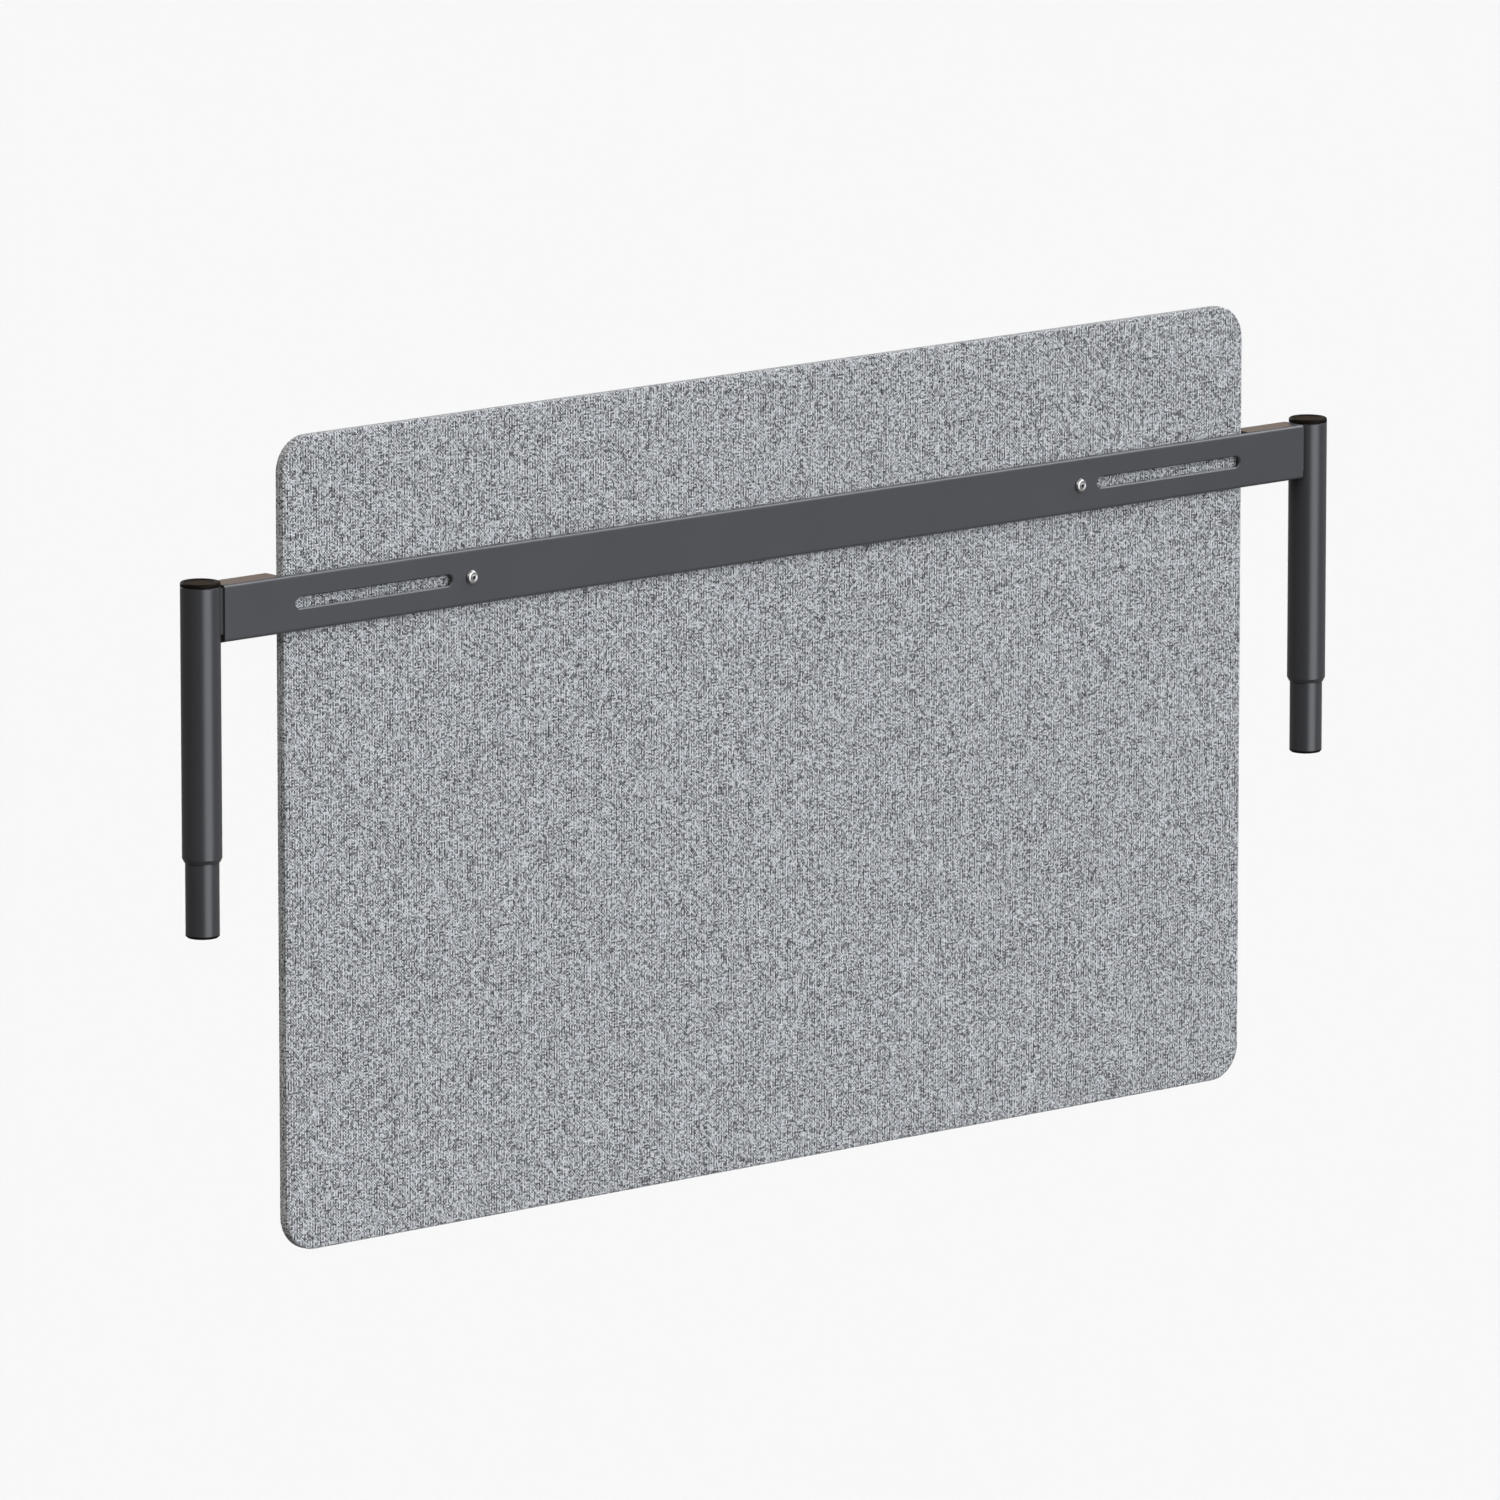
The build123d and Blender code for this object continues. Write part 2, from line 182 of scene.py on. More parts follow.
class FinishSettings(bpy.types.PropertyGroup):
    """The metal and plastic finishes"""

    coat_colour: FloatVectorProperty(
        name="Powder Coat",
        description="Colour of the powder coat",
        default=(0.0455, 0.047, 0.052),
        subtype="COLOR",
    )
    coat_roughness: FloatProperty(
        name="Coat Roughness",
        description="Mean roughness of the powder coat",
        default=0.33,
        min=0,
        max=1,
    )
    cap_colour: FloatVectorProperty(
        name="Cap Colour",
        description="Colour of the moulded caps and plugs",
        default=(0.0065, 0.0043, 0.003),
        subtype="COLOR",
    )
    screw_colour: FloatVectorProperty(
        name="Screw Colour",
        description="Colour of the plated screws",
        default=(0.46, 0.46, 0.455),
        subtype="COLOR",
    )
    socket_size: FloatProperty(
        name="Socket Size",
        description="Across flats of the screw's hexagon socket",
        default=2.0 * MM,
        unit="LENGTH",
    )


class StageSettings(bpy.types.PropertyGroup):
    """Floor, light and camera"""

    floor_drop: FloatProperty(
        name="Floor Drop",
        description="Height of the origin above the floor",
        default=1.5,
        unit="LENGTH",
    )
    floor_half: FloatProperty(
        name="Floor Half Width",
        description="Half the width of the floor",
        default=60.0,
        unit="LENGTH",
    )
    floor_colour: FloatVectorProperty(
        name="Floor Colour",
        description="Colour of the plain floor",
        default=(0.671, 0.673, 0.675),
        subtype="COLOR",
    )
    camera_azimuth: FloatProperty(
        name="Camera Azimuth",
        description="Angle of the camera to the left of the front",
        default=math.radians(40.89),
        subtype="ANGLE",
    )
    camera_elevation: FloatProperty(
        name="Camera Elevation",
        description="Angle of the camera above the level",
        default=math.radians(10.86),
        subtype="ANGLE",
    )
    camera_distance: FloatProperty(
        name="Camera Distance",
        description="Distance from the camera to its aim",
        default=10.286,
        unit="LENGTH",
    )
    camera_aim: FloatVectorProperty(
        name="Camera Aim",
        description="Point at the centre of the view",
        default=(-0.0207, 0.0, 0.0156),
        subtype="TRANSLATION",
    )
    lens: FloatProperty(
        name="Lens",
        description="Focal length in millimetres",
        default=347.2,
    )
    ambient: FloatProperty(
        name="Ambient",
        description="Brightness of the studio at eye level",
        default=0.22,
    )
    overhead: FloatProperty(
        name="Overhead",
        description="Extra brightness towards the ceiling",
        default=0.4,
    )
    side_light: FloatProperty(
        name="Side Light",
        description="Brightness of the high light on the right",
        default=6.0,
    )
    rear_light: FloatProperty(
        name="Rear Light",
        description="Brightness of the softbox behind",
        default=4.0,
    )
    softbox: FloatProperty(
        name="Softbox",
        description="Brightness of the tall softbox in front",
        default=3.5,
    )
    softbox_width: FloatProperty(
        name="Softbox Width",
        description="Angle the softbox spans",
        default=math.radians(46),
        subtype="ANGLE",
    )
    left_fill: FloatProperty(
        name="Left Fill",
        description="Brightness of the high fill on the left",
        default=1.75,
    )
    fill_tint: FloatVectorProperty(
        name="Fill Tint",
        description="Colour of the high fill on the left",
        default=(1.0, 0.96, 0.87),
        subtype="COLOR",
    )
    back_glow: FloatProperty(
        name="Back Glow",
        description="Brightness of the warm panel behind",
        default=0.9,
    )
    glow_tint: FloatVectorProperty(
        name="Glow Tint",
        description="Colour of the warm wall behind",
        default=(1.0, 0.72, 0.5),
        subtype="COLOR",
    )
    warm_tint: FloatVectorProperty(
        name="Warm Tint",
        description="Colour of the ambient light",
        default=(1.0, 0.965, 0.93),
        subtype="COLOR",
    )
    cool_tint: FloatVectorProperty(
        name="Cool Tint",
        description="Colour of the softbox",
        default=(0.955, 0.985, 1.04),
        subtype="COLOR",
    )


# Node and mesh helpers ----------------------------------------------------------


def node(tree, kind, inputs=None, **settings):
    """A new node. An input takes a socket, which is linked, or a value."""
    made = tree.nodes.new(kind)
    for key, value in settings.items():
        setattr(made, key, value)
    for key, value in (inputs or {}).items():
        if isinstance(value, bpy.types.NodeSocket):
            tree.links.new(value, made.inputs[key])
        else:
            made.inputs[key].default_value = value
    return made


def calc(tree, operation, first, second=None):
    """The result of one Math node."""
    inputs = {0: first} if second is None else {0: first, 1: second}
    return node(tree, "ShaderNodeMath", inputs, operation=operation).outputs[0]


def blended(tree, factor, first, second):
    """A number between first and second."""
    mix = node(tree, "ShaderNodeMix", {"Factor": factor}, data_type="FLOAT")
    for socket, value in ((mix.inputs[2], first), (mix.inputs[3], second)):
        if isinstance(value, bpy.types.NodeSocket):
            tree.links.new(value, socket)
        else:
            socket.default_value = value
    return mix.outputs[0]


def tinted(tree, factor, first, second, blend="MIX"):
    """A colour between first and second."""
    mix = node(tree, "ShaderNodeMix", data_type="RGBA", blend_type=blend)
    sockets = (mix.inputs[0], mix.inputs[6], mix.inputs[7])
    for socket, value in zip(sockets, (factor, first, second)):
        if isinstance(value, bpy.types.NodeSocket):
            tree.links.new(value, socket)
        elif socket.type == "RGBA":
            socket.default_value = (*value, 1)
        else:
            socket.default_value = value
    return mix.outputs[2]


def new_material(name, **shader_values):
    """A material with one Principled shader, whose constants are set on its own sockets."""
    material = bpy.data.materials.new(name)
    material.use_nodes = True
    tree = material.node_tree
    shader = tree.nodes["Principled BSDF"]
    for key, value in shader_values.items():
        shader.inputs[key.replace("_", " ")].default_value = value
    return material, tree, shader


def place_noise(tree, scale, detail):
    """Noise on Object coordinates, scale in cycles a metre."""
    place = node(tree, "ShaderNodeTexCoord").outputs["Object"]
    values = {"Vector": place, "Scale": scale, "Detail": detail}
    return node(tree, "ShaderNodeTexNoise", values).outputs[0]


def add_bump(tree, shader, strength, distance, height):
    """Relief from a height; the distance is in metres."""
    values = {"Strength": strength, "Distance": distance, "Height": height}
    tree.links.new(node(tree, "ShaderNodeBump", values).outputs[0], shader.inputs["Normal"])


def add_object(name, mesh):
    made = bpy.data.objects.new(name, mesh)
    bpy.context.scene.collection.objects.link(made)
    return made


def shade_smooth(mesh):
    mesh.polygons.foreach_set("use_smooth", [True] * len(mesh.polygons))


def finish_node(name, material):
    """Puts a material on a CAD node."""
    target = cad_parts[name]
    target.data.materials.clear()
    target.data.materials.append(material)


# Cover ------------------------------------------------------------------------


def outline(radius, inset, corner_steps=14):
    """Points (x, z) and outward directions round the panel, inset from its silhouette."""
    low, high = PANEL_LOW[2] + radius, PANEL_HIGH[2] - radius
    side = HALF_WIDTH - radius
    centres = [(side, low), (side, high), (-side, high), (-side, low)]
    reach = radius - inset
    points = []
    for index, (cx, cz) in enumerate(centres):
        start = math.pi / 2 * (index - 1)
        for k in range(corner_steps + 1):
            angle = start + math.pi / 2 * k / corner_steps
            out = (math.cos(angle), math.sin(angle))
            points.append(((cx + reach * out[0], cz + reach * out[1]), out))
        out = (math.cos(start + math.pi / 2), math.sin(start + math.pi / 2))
        nx, nz = centres[(index + 1) % 4]
        count = round(math.hypot(nx - cx, nz - cz) / GRID_STEP)
        for k in range(1, count):
            t = k / count
            place = (cx + (nx - cx) * t + reach * out[0], cz + (nz - cz) * t + reach * out[1])
            points.append((place, out))
    return points


def cover_rings(settings, face):
    """(inset, y, length of cloth past the flat face) from the face to the seam."""
    face_y = PANEL_FRONT if face < 0 else PANEL_BACK
    edge = settings.edge_radius
    rings = [(settings.corner_radius, face_y, 0.0)]
    for share in (0.6, 0.3, 0.12):
        rings.append((edge + (settings.corner_radius - edge) * share, face_y, 0.0))
    steps = 7
    for k in range(steps + 1):
        angle = math.pi / 2 * k / steps
        inset = edge * (1 - math.sin(angle))
        rings.append((inset, face_y - face * edge * (1 - math.cos(angle)), edge * angle))
    side_y = face_y - face * edge
    straight = abs(SEAM_Y - side_y)
    tuck = min(settings.tuck_depth, 0.45 * straight)
    arc = edge * math.pi / 2
    rings.append((0.0, side_y - face * (straight - tuck), arc + straight - tuck))
    for k in range(1, 5):
        angle = math.pi / 2 * k / 4
        inset = tuck * (1 - math.cos(angle))
        depth = straight - tuck + tuck * math.sin(angle) * 0.9
        rings.append((inset, side_y - face * depth, arc + straight - tuck + tuck * angle))
    return rings


def cover_mesh(settings, face):
    """One half of the cover: a face, its rounded edge, the side and the turned-in hem."""
    made = bmesh.new()
    cloth = made.verts.layers.float_vector.new("cloth_place")
    radius = settings.corner_radius

    def vertex(x, y, z, u, v):
        vert = made.verts.new((x, y, z))
        vert[cloth] = (u, v, 0)
        return vert

    flat = outline(radius, settings.edge_radius)
    loops = []
    for inset, y, arc in cover_rings(settings, face):
        loop = []
        for k, ((x, z), out) in enumerate(outline(radius, inset)):
            if arc:
                u, v = flat[k][0][0] + out[0] * arc, flat[k][0][1] + out[1] * arc
            else:
                u, v = x, z
            loop.append(vertex(x, y, z, u, v))
        loops.append(loop)
    for inner, outer in zip(loops, loops[1:]):
        for k in range(len(inner)):
            after = (k + 1) % len(inner)
            made.faces.new((inner[k], inner[after], outer[after], outer[k]))
    face_y = PANEL_FRONT if face < 0 else PANEL_BACK
    side, low, high = HALF_WIDTH - radius, PANEL_LOW[2] + radius, PANEL_HIGH[2] - radius
    columns, rows = round(2 * side / GRID_STEP), round((high - low) / GRID_STEP)
    grid = [
        [
            vertex(x, face_y, z, x, z)
            for x in (-side + 2 * side * i / columns for i in range(columns + 1))
        ]
        for z in (low + (high - low) * j / rows for j in range(rows + 1))
    ]
    for j in range(rows):
        for i in range(columns):
            made.faces.new((grid[j][i], grid[j][i + 1], grid[j + 1][i + 1], grid[j + 1][i]))
    bmesh.ops.remove_doubles(made, verts=made.verts, dist=0.01 * MM)
    bmesh.ops.recalc_face_normals(made, faces=made.faces)

    def off_centre(polygon):
        middle = polygon.calc_center_median()
        return abs(middle.x) + abs(middle.z)

    centre = min(made.faces, key=off_centre)
    if centre.normal.y * face < 0:
        bmesh.ops.reverse_faces(made, faces=made.faces)
    uv = made.loops.layers.uv.new(UV_NAME)
    for polygon in made.faces:
        for corner in polygon.loops:
            corner[uv].uv = corner.vert[cloth].xy
    mesh = bpy.data.meshes.new("cover_front" if face < 0 else "cover_back")
    made.to_mesh(mesh)
    made.free()
    shade_smooth(mesh)
    return mesh


def weave_material(settings):
    """Plain weave of pale, mid and dark heathered yarns, which alternate both ways."""
    material, tree, shader = new_material(
        "heathered_weave", Roughness=0.92, Sheen_Weight=0.1, Sheen_Roughness=0.5
    )
    place = node(tree, "ShaderNodeUVMap", uv_map=UV_NAME).outputs[0]
    level, upright, _ = node(tree, "ShaderNodeSeparateXYZ", {0: place}).outputs
    across = calc(tree, "DIVIDE", level, settings.warp_pitch)
    along = calc(tree, "DIVIDE", upright, settings.weft_pitch)
    warp, weft = calc(tree, "FLOOR", across), calc(tree, "FLOOR", along)
    warp_hump = calc(tree, "SINE", calc(tree, "MULTIPLY", calc(tree, "FRACT", across), math.pi))
    weft_hump = calc(tree, "SINE", calc(tree, "MULTIPLY", calc(tree, "FRACT", along), math.pi))
    over = calc(tree, "FLOORED_MODULO", calc(tree, "ADD", warp, weft), 2.0)
    warp_ridge = calc(tree, "MULTIPLY", warp_hump, blended(tree, weft_hump, YARN_DIP, 1.0))
    weft_ridge = calc(tree, "MULTIPLY", weft_hump, blended(tree, warp_hump, YARN_DIP, 1.0))
    ridge = blended(tree, over, warp_ridge, weft_ridge)

    def yarn_noise(first, first_scale, second, second_scale):
        """Noise that runs along one yarn and changes from yarn to yarn."""
        first = calc(tree, "MULTIPLY", first, first_scale)
        second = calc(tree, "MULTIPLY", second, second_scale)
        at = node(tree, "ShaderNodeCombineXYZ", {0: first, 1: second}).outputs[0]
        values = {"Vector": at, "Scale": 1.0, "Detail": 0.0}
        return node(tree, "ShaderNodeTexNoise", values).outputs[0]

    def varied(tone, noise, amount):
        """A tone that noise moves up and down by half the amount."""
        change = calc(tree, "MULTIPLY", calc(tree, "SUBTRACT", noise, 0.5), amount)
        return calc(tree, "ADD", tone, change)

    run = 1 / settings.slub_length
    warp_slub = yarn_noise(warp, WARP_STEP, upright, run)
    weft_slub = yarn_noise(level, run, weft, WEFT_STEP)
    warp_strand = yarn_noise(level, 1 / STRAND_WIDTH, upright, 1 / STRAND_LENGTH)
    weft_strand = yarn_noise(level, 1 / STRAND_LENGTH, upright, 1 / STRAND_WIDTH)
    strand = blended(tree, over, warp_strand, weft_strand)
    crossing = node(tree, "ShaderNodeCombineXYZ", {0: warp, 1: weft}).outputs[0]
    fleck = node(tree, "ShaderNodeTexWhiteNoise", {"Vector": crossing}, noise_dimensions="2D")
    warp_odd = calc(tree, "FLOORED_MODULO", warp, 2.0)
    weft_odd = calc(tree, "FLOORED_MODULO", weft, 2.0)
    warp_tone = blended(tree, warp_odd, settings.pale_yarn, settings.mid_yarn)
    weft_tone = blended(tree, weft_odd, settings.dark_yarn, settings.mid_yarn)
    warp_tone = varied(warp_tone, warp_slub, WARP_SLUB)
    weft_tone = varied(weft_tone, weft_slub, WEFT_SLUB)
    tone = varied(blended(tree, over, warp_tone, weft_tone), fleck.outputs[0], settings.heather)
    tone = node(tree, "ShaderNodeClamp", {0: varied(tone, strand, STRAND_CONTRAST)}).outputs[0]
    colour = tinted(tree, tone, settings.dark_fibre, settings.light_fibre)
    shade = blended(tree, ridge, GAP_SHADE, CROWN_SHADE)
    grey = node(tree, "ShaderNodeCombineColor", {0: shade, 1: shade, 2: shade}).outputs[0]
    tree.links.new(tinted(tree, 1.0, colour, grey, "MULTIPLY"), shader.inputs["Base Color"])
    relief = calc(tree, "ADD", ridge, calc(tree, "MULTIPLY", strand, STRAND_RELIEF))
    add_bump(tree, shader, 0.6, 0.15 * MM, relief)
    return material


class PANEL_OT_cover(bpy.types.Operator):
    """Builds the two halves of the woven cover"""

    bl_idname = "privacy_panel.cover"
    bl_label = "Cover"

    def execute(self, context):
        settings = context.scene.panel_cover
        cloth = weave_material(settings)
        for face, name, stands_for in (
            (-1, "cover_front", "fabric_front"),
            (1, "cover_back", "fabric_back"),
        ):
            cover = add_object(name, cover_mesh(settings, face))
            cover.data.materials.append(cloth)
            shell = cover.modifiers.new("thickness", "SOLIDIFY")
            shell.thickness = settings.cloth_thickness
            shell.offset = -1
            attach(cover, "screen")
            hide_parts(stands_for)
        return {"FINISHED"}


# Seam -------------------------------------------------------------------------


def thread_material():
    """Matt thread with a fine twist."""
    material, tree, shader = new_material("seam_thread", Roughness=0.85, Sheen_Weight=0.2)
    twist = place_noise(tree, 900.0, 2.0)
    colour = tinted(tree, twist, (0.12, 0.12, 0.12), (0.42, 0.43, 0.44))
    tree.links.new(colour, shader.inputs["Base Color"])
    add_bump(tree, shader, 0.5, 0.1 * MM, twist)
    return material


def seam_tree(material):
    """Geometry Nodes: a welt cord along the loop, whipped over with stitches."""
    tree = bpy.data.node_groups.new("whipped_seam", "GeometryNodeTree")
    tree.interface.new_socket("Loop", in_out="INPUT", socket_type="NodeSocketGeometry")
    for name, default in (("Welt Radius", 0.5 * MM), ("Stitch Pitch", 3.4 * MM)):
        size = tree.interface.new_socket(name, in_out="INPUT", socket_type="NodeSocketFloat")
        size.default_value = default
    tree.interface.new_socket("Seam", in_out="OUTPUT", socket_type="NodeSocketGeometry")
    given = node(tree, "NodeGroupInput").outputs
    curve = node(tree, "GeometryNodeMeshToCurve", {0: given["Loop"]}).outputs[0]
    ring = {"Resolution": 8, "Radius": given["Welt Radius"]}
    ring = node(tree, "GeometryNodeCurvePrimitiveCircle", ring).outputs[0]
    welt = {"Curve": curve, "Profile Curve": ring}
    welt = node(tree, "GeometryNodeCurveToMesh", welt).outputs[0]
    spaced = {"Curve": curve, "Length": given["Stitch Pitch"]}
    spaced = node(tree, "GeometryNodeResampleCurve", spaced, mode="LENGTH")
    tangent = node(tree, "GeometryNodeInputTangent").outputs[0]
    turn = node(tree, "FunctionNodeAlignEulerToVector", {"Vector": tangent}, axis="X")
    bead = node(tree, "GeometryNodeMeshUVSphere", {"Segments": 8, "Rings": 6, "Radius": 1.0}).outputs[0]
    stitches = node(
        tree,
        "GeometryNodeInstanceOnPoints",
        {
            "Points": spaced.outputs[0],
            "Instance": bead,
            "Rotation": turn.outputs[0],
            "Scale": STITCH_SIZE,
        },
    ).outputs[0]
    stitches = node(tree, "GeometryNodeRealizeInstances", {0: stitches}).outputs[0]
    joined = node(tree, "GeometryNodeJoinGeometry")
    for piece in (welt, stitches):
        tree.links.new(piece, joined.inputs[0])
    smooth = node(tree, "GeometryNodeSetShadeSmooth", {0: joined.outputs[0]}).outputs[0]
    realized = node(tree, "GeometryNodeRealizeInstances", {0: smooth}).outputs[0]
    coloured = node(tree, "GeometryNodeSetMaterial", {0: realized, "Material": material}).outputs[0]
    node(tree, "NodeGroupOutput", {0: coloured})
    return tree


def apply_tree(source, tree, name, values):
    """The plain mesh object that a Geometry Nodes tree makes from source."""
    modifier = source.modifiers.new("nodes", "NODES")
    modifier.node_group = tree
    items = tree.interface.items_tree
    sockets = {item.name: item.identifier for item in items if item.in_out == "INPUT"}
    for key, value in values.items():
        modifier[sockets[key]] = value
    bpy.context.view_layer.update()
    evaluated = source.evaluated_get(bpy.context.evaluated_depsgraph_get())
    mesh = bpy.data.meshes.new_from_object(evaluated)
    source.modifiers.remove(modifier)
    bpy.data.objects.remove(source)
    mesh.name = name
    return add_object(name, mesh)


class PANEL_OT_seam(bpy.types.Operator):
    """Builds the whipped seam round the panel's edge"""

    bl_idname = "privacy_panel.seam"
    bl_label = "Seam"

    def execute(self, context):
        settings = context.scene.panel_cover
        points = [(x, SEAM_Y, z) for (x, z), out in outline(settings.corner_radius, SEAM_INSET)]
        edges = [(k, (k + 1) % len(points)) for k in range(len(points))]
        mesh = bpy.data.meshes.new("seam_loop")
        mesh.from_pydata(points, edges, [])
        seam = apply_tree(
            add_object("seam_loop", mesh),
            seam_tree(thread_material()),
            "edge_seam",
            {"Welt Radius": settings.cord_radius, "Stitch Pitch": settings.stitch_pitch},
        )
        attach(seam, "screen")
        return {"FINISHED"}


# Screws -----------------------------------------------------------------------


def turned_mesh(name, profile, sides=48):
    """A closed shape turned about Z from (radius, height, hexagonal) steps, ending on the axis."""
    made = bmesh.new()
    loops = []
    for radius, height, hexagonal in profile:
        loop = []
        for k in range(sides):
            angle = 2 * math.pi * k / sides
            reach = radius
            if hexagonal:
                off = (angle + math.pi / 6) % (math.pi / 3) - math.pi / 6
                reach = radius / math.cos(off)
            loop.append(made.verts.new((reach * math.cos(angle), reach * math.sin(angle), height)))
        loops.append(loop)
    for lower, upper in zip(loops, loops[1:]):
        for k in range(sides):
            after = (k + 1) % sides
            made.faces.new((lower[k], lower[after], upper[after], upper[k]))
    made.faces.new(loops[-1])
    made.faces.new(list(reversed(loops[0])))
    bmesh.ops.recalc_face_normals(made, faces=made.faces)
    mesh = bpy.data.meshes.new(name)
    made.to_mesh(mesh)
    made.free()
    shade_smooth(mesh)
    mesh.set_sharp_from_angle(angle=math.radians(35))
    return mesh


def plated_material(name, colour, roughness):
    """Bright plated steel with fine turning marks and faint cloudiness."""
    material, tree, shader = new_material(name, Metallic=1.0)
    cloud = place_noise(tree, 260.0, 3.0)
    fine = place_noise(tree, 2600.0, 2.0)
    tint = tinted(tree, cloud, tuple(c * 0.86 for c in colour), colour)
    tree.links.new(tint, shader.inputs["Base Color"])
    rough = blended(tree, fine, roughness - 0.06, roughness + 0.1)
    tree.links.new(rough, shader.inputs["Roughness"])
    add_bump(tree, shader, 0.12, 0.05 * MM, fine)
    return material


class PANEL_OT_screws(bpy.types.Operator):
    """Builds the two socket screws that hold the panel to the rail"""

    bl_idname = "privacy_panel.screws"
    bl_label = "Screws"

    def execute(self, context):
        settings = context.scene.panel_finish
        head, flat = SCREW_RADIUS, settings.socket_size / 2
        top = RAIL_FRONT - SCREW_LOW[1]
        rim, edge = RIM_SHARE * top, head - RIM_ROUNDING
        end = RAIL_FRONT - SCREW_HIGH[1]
        profile = [(SHANK_RADIUS, end, False), (SHANK_RADIUS, 0, False), (head, 0, False)]
        profile += [(head, rim - RIM_ROUNDING, False), (edge, rim, False)]
        for k in range(1, DOME_STEPS + 1):
            angle = math.pi / 2 * k / DOME_STEPS
            radius = edge - (edge - SHOULDER_RADIUS) * (1 - math.cos(angle))
            profile.append((radius, rim + (top - rim) * math.sin(angle), False))
        for radius, depth, hexagonal in (
            (GROOVE_OUTER, GROOVE_DEPTH, False),
            (GROOVE_INNER, GROOVE_DEPTH, False),
            (LAND_RADIUS, LAND_DEPTH, False),
            (flat + MOUTH_FLARE, LAND_DEPTH, True),
            (flat, MOUTH_DEPTH, True),
            (flat, SOCKET_DEPTH, True),
            (TIP_RADIUS, TIP_DEPTH, False),
        ):
            profile.append((radius, top - depth, hexagonal))
        mesh = turned_mesh("panel_screw", profile)
        steel = plated_material("bright_plating", tuple(settings.screw_colour), roughness=0.32)
        # A dark steel that paints shade into the socket and onto the head's upright side wall
        painted_shade = plated_material("painted_shade_steel", (0.05, 0.048, 0.045), roughness=0.5)
        for face in mesh.polygons:
            # Faces in the socket and on the head's upright wall take the painted shade
            off_axis = math.hypot(face.center.x, face.center.y)
            inside = off_axis < flat + PAINTED_SHADE_MARGIN and face.center.z < top - PAINTED_SHADE_MARGIN
            wall = abs(face.normal.z) < 0.3 and 0 < face.center.z < rim
            face.material_index = 1 if inside or wall else 0
        for side, word in ((-1, "left"), (1, "right")):
            screw = add_object(f"screw_{word}", mesh.copy())
            spot = Vector((side * SCREW_X, RAIL_FRONT, SCREW_Z))
            for vertex in screw.data.vertices:
                x, y, z = vertex.co
                vertex.co = (spot.x + x, spot.y - z, spot.z + y)
            screw.data.materials.append(steel)
            screw.data.materials.append(painted_shade)
            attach(screw, "screen")
            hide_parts(f"panel_screw_{word}")
        return {"FINISHED"}


# Finishes on the CAD nodes ----------------------------------------------------------


def powder_coat(settings, name, share):
    """Satin powder coat: orange peel, fine texture and slight unevenness. Share scales its colour, which
    paints light and shade in as lighter and darker copies of one coat.
    """
    material, tree, shader = new_material(name, IOR=1.5)
    colour = tuple(c * share for c in settings.coat_colour)
    cloud = place_noise(tree, 22.0, 3.0)
    tint = tinted(tree, cloud, tuple(c * 0.9 for c in colour), tuple(c * 1.1 for c in colour))
    tree.links.new(tint, shader.inputs["Base Color"])
    grain = place_noise(tree, 1500.0, 3.0)
    peel = place_noise(tree, 380.0, 1.0)
    rough = settings.coat_roughness
    tree.links.new(blended(tree, grain, rough - 0.08, rough + 0.08), shader.inputs["Roughness"])
    relief = calc(tree, "ADD", calc(tree, "MULTIPLY", grain, 0.5), peel)
    add_bump(tree, shader, 0.25, 0.08 * MM, relief)
    return material


def moulded_plastic(name, colour, roughness):
    """Matt moulded plastic with a fine spark-eroded grain."""
    material, tree, shader = new_material(name, Specular_IOR_Level=0.05)
    grain = place_noise(tree, 1800.0, 2.0)
    tint = tinted(tree, grain, tuple(c * 0.8 for c in colour), tuple(c * 1.3 for c in colour))
    tree.links.new(tint, shader.inputs["Base Color"])
    rough = blended(tree, grain, roughness - 0.1, roughness + 0.1)
    tree.links.new(rough, shader.inputs["Roughness"])
    add_bump(tree, shader, 0.3, 0.06 * MM, grain)
    return material


def fibreboard():
    """Pressed wood fibre, for the hidden core."""
    material, tree, shader = new_material("fibreboard", Roughness=0.8)
    fibre = place_noise(tree, 700.0, 4.0)
    colour = tinted(tree, fibre, (0.26, 0.18, 0.1), (0.5, 0.38, 0.25))
    tree.links.new(colour, shader.inputs["Base Color"])
    return material


class PANEL_OT_finishes(bpy.types.Operator):
    """Puts a finish on every part of the frame that stays as it is"""

    bl_idname = "privacy_panel.finishes"
    bl_label = "Finishes"

    def execute(self, context):
        settings = context.scene.panel_finish
        # The rail and connectors get a lighter copy and the tubes a darker copy of one powder coat: painted
        # light and painted shade
        rail_coat_painted_lighter = powder_coat(settings, "rail_coat_painted_lighter", share=1.15)
        tube_coat_painted_darker = powder_coat(settings, "tube_coat_painted_darker", share=0.8)
        cap = moulded_plastic("moulded_cap", tuple(settings.cap_colour), roughness=0.5)
        steel = plated_material("zinc_plating", (0.6, 0.6, 0.58), roughness=0.35)
        finishes = {
            rail_coat_painted_lighter: ["rail"],
            fibreboard(): ["panel_board"],
            steel: ["rail_studs", "stud_nuts"],
        }
        paired = {
            rail_coat_painted_lighter: ["connector"],
            tube_coat_painted_darker: ["post_tube", "lower_tube"],
            cap: ["top_cap", "end_plug", "end_pad", "guide_bushing", "slide_glide", "spacer"],
            steel: ["threaded_insert", "lock_insert", "lock_screw"],
        }
        for material, names in paired.items():
            for name in names:
                finishes.setdefault(material, []).extend([f"{name}_left", f"{name}_right"])
        for material, names in finishes.items():
            for name in names:
                finish_node(name, material)
        return {"FINISHED"}


# Stage ------------------------------------------------------------------------

